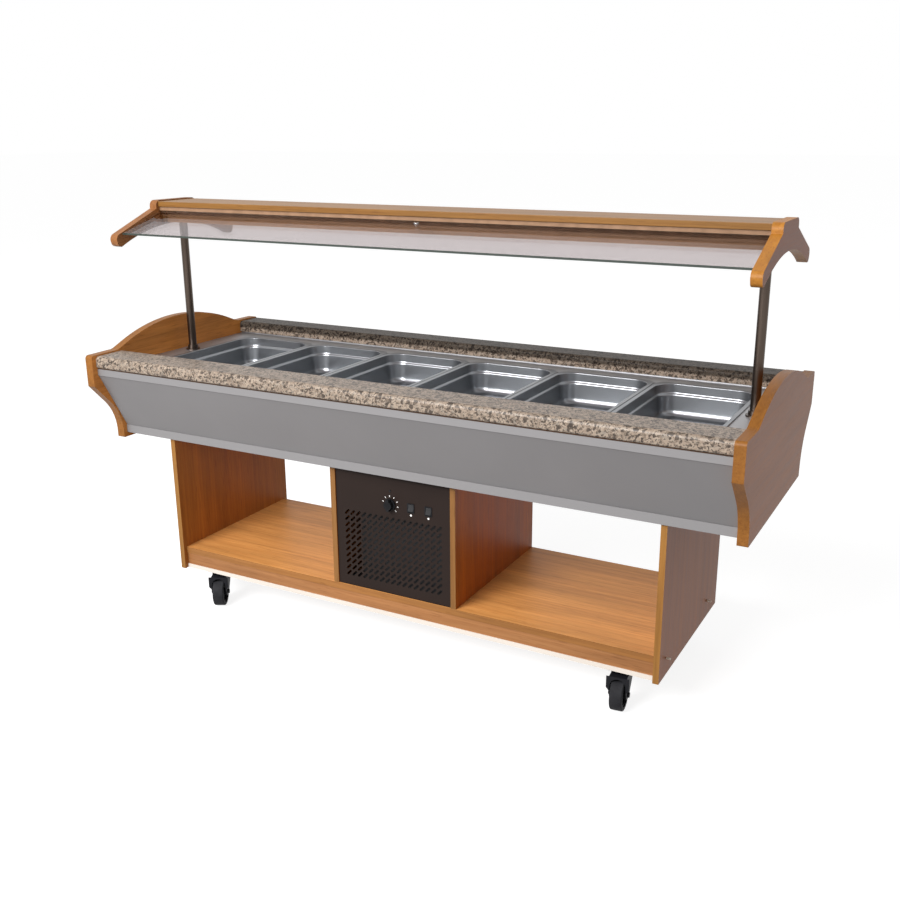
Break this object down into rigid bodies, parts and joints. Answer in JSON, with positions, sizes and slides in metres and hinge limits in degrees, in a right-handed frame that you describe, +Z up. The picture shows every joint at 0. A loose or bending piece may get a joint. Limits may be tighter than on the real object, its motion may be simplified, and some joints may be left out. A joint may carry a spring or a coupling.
{
  "type": "mobile refrigerated salad bar",
  "caption": "Mobile refrigerated buffet island with pans in a granite-edged well, a sloping glass sneeze guard on posts, an open storage base and swivel casters.",
  "frame": {"origin": "on the floor under the middle of the counter", "axes": "+X along the counter to the right seen from the front, +Y to the back, +Z up"},
  "size_m": [2.2, 0.87, 1.39],
  "materials": {
    "wood": "satin cherry-coloured laminate",
    "granite": "polished speckled pink-beige granite",
    "fascia_sheet": "matt grey painted sheet",
    "trim": "satin anodised strip",
    "deck_steel": "brushed stainless sheet",
    "pan_steel": "polished stainless steel",
    "post_steel": "polished stainless tube",
    "glass": "clear toughened glass",
    "channel": "dark profile",
    "lamp": "white opal tube and diffuser",
    "fixing_metal": "polished metal",
    "panel_brown": "dark brown painted sheet",
    "control_black": "black plastic",
    "rocker_black": "glossy black plastic",
    "foam": "closed-cell foam",
    "frame_white": "white painted steel",
    "caster_steel": "black painted pressed steel",
    "wheel_plastic": "black plastic",
    "rubber": "dark grey rubber",
    "cap_plastic": "cover cap",
    "galvanised": "galvanised sheet",
    "fin_aluminium": "finned block",
    "compressor_black": "black enamel",
    "fan_plastic": "black fan blades",
    "copper": "copper tube"
  },
  "bodies": {
    "counter_body": {"end_panel_left": "wood", "end_panel_right": "wood", "granite_front": "granite", "granite_back": "granite", "fascia_front": "fascia_sheet", "fascia_back": "fascia_sheet", "fascia_trims": "trim", "counter_rails": "wood", "counter_floor": "wood", "well_tub": "deck_steel", "well_insulation": "foam", "pan_bars": "deck_steel", "wing_left": "wood", "wing_right": "wood", "canopy_board": "wood", "light_box": "wood", "lamp_and_diffuser": "lamp", "glass_front": "glass", "glass_back": "glass", "glass_channels": "channel", "glass_fixings": "fixing_metal", "canopy_posts": "post_steel", "base_side_left": "wood", "base_side_right": "wood", "bay_dividers": "wood", "base_shelf": "wood", "plinth_boards": "wood", "chassis_frame": "frame_white", "fixing_caps": "cap_plastic", "control_panel": "panel_brown", "rear_grille": "panel_brown", "control_bodies": "control_black", "unit_tray": "galvanised", "condenser": "fin_aluminium", "fan_motor": "galvanised", "compressor": "compressor_black", "refrigerant_pipes": "copper", "caster_plates": "caster_steel"},
    "fork_fl": {"caster_fork_fl": "caster_steel"},
    "wheel_fl": {"caster_wheel_fl": "wheel_plastic", "caster_tyre_fl": "rubber"},
    "fork_fr": {"caster_fork_fr": "caster_steel"},
    "wheel_fr": {"caster_wheel_fr": "wheel_plastic", "caster_tyre_fr": "rubber"},
    "fork_bl": {"caster_fork_bl": "caster_steel"},
    "wheel_bl": {"caster_wheel_bl": "wheel_plastic", "caster_tyre_bl": "rubber"},
    "fork_br": {"caster_fork_br": "caster_steel"},
    "wheel_br": {"caster_wheel_br": "wheel_plastic", "caster_tyre_br": "rubber"},
    "fan": {"fan_blades": "fan_plastic"},
    "knob": {"thermostat_knob": "control_black"},
    "rocker_body_left": {"rocker_left": "rocker_black"},
    "rocker_body_right": {"rocker_right": "rocker_black"},
    "pan_body_1": {"pan_1": "pan_steel"},
    "pan_body_2": {"pan_2": "pan_steel"},
    "pan_body_3": {"pan_3": "pan_steel"},
    "pan_body_4": {"pan_4": "pan_steel"},
    "pan_body_5": {"pan_5": "pan_steel"},
    "pan_body_6": {"pan_6": "pan_steel"}
  },
  "joints": [
    {"name": "swivel_fl", "type": "hinge", "parent": "counter_body", "child": "fork_fl", "pos_m": [-0.753, -0.235, 0.11], "axis": [0, 0, 1], "continuous": true},
    {"name": "roll_fl", "type": "hinge", "parent": "fork_fl", "child": "wheel_fl", "pos_m": [-0.73657, -0.2659, 0.05], "axis": [0.8829, 0.4695, 0], "continuous": true},
    {"name": "swivel_fr", "type": "hinge", "parent": "counter_body", "child": "fork_fr", "pos_m": [0.753, -0.235, 0.11], "axis": [0, 0, 1], "continuous": true},
    {"name": "roll_fr", "type": "hinge", "parent": "fork_fr", "child": "wheel_fr", "pos_m": [0.75666, -0.26981, 0.05], "axis": [0.9945, 0.1045, 0], "continuous": true},
    {"name": "swivel_bl", "type": "hinge", "parent": "counter_body", "child": "fork_bl", "pos_m": [-0.753, 0.235, 0.11], "axis": [0, 0, 1], "continuous": true},
    {"name": "roll_bl", "type": "hinge", "parent": "fork_bl", "child": "wheel_bl", "pos_m": [-0.76497, 0.26789, 0.05], "axis": [-0.9397, -0.342, 0], "continuous": true},
    {"name": "swivel_br", "type": "hinge", "parent": "counter_body", "child": "fork_br", "pos_m": [0.753, 0.235, 0.11], "axis": [0, 0, 1], "continuous": true},
    {"name": "roll_br", "type": "hinge", "parent": "fork_br", "child": "wheel_br", "pos_m": [0.76206, 0.26881, 0.05], "axis": [-0.9659, 0.2588, 0], "continuous": true},
    {"name": "fan_spin", "type": "hinge", "parent": "counter_body", "child": "fan", "pos_m": [0.01, -0.165, 0.325], "axis": [0, 1, 0], "continuous": true},
    {"name": "knob_turn", "type": "hinge", "parent": "counter_body", "child": "knob", "pos_m": [-0.005, -0.29, 0.508], "axis": [0, 1, 0], "range_deg": [0, 270]},
    {"name": "rocker_tilt_left", "type": "hinge", "parent": "counter_body", "child": "rocker_body_left", "pos_m": [0.069, -0.278, 0.507], "axis": [1, 0, 0], "range_deg": [0, 16]},
    {"name": "rocker_tilt_right", "type": "hinge", "parent": "counter_body", "child": "rocker_body_right", "pos_m": [0.131, -0.278, 0.507], "axis": [1, 0, 0], "range_deg": [0, 16]},
    {"name": "pan_lift_1", "type": "slide", "parent": "counter_body", "child": "pan_body_1", "axis": [0, 0, 1], "range_m": [0, 0.16]},
    {"name": "pan_lift_2", "type": "slide", "parent": "counter_body", "child": "pan_body_2", "axis": [0, 0, 1], "range_m": [0, 0.16]},
    {"name": "pan_lift_3", "type": "slide", "parent": "counter_body", "child": "pan_body_3", "axis": [0, 0, 1], "range_m": [0, 0.16]},
    {"name": "pan_lift_4", "type": "slide", "parent": "counter_body", "child": "pan_body_4", "axis": [0, 0, 1], "range_m": [0, 0.16]},
    {"name": "pan_lift_5", "type": "slide", "parent": "counter_body", "child": "pan_body_5", "axis": [0, 0, 1], "range_m": [0, 0.16]},
    {"name": "pan_lift_6", "type": "slide", "parent": "counter_body", "child": "pan_body_6", "axis": [0, 0, 1], "range_m": [0, 0.16]}
  ]
}
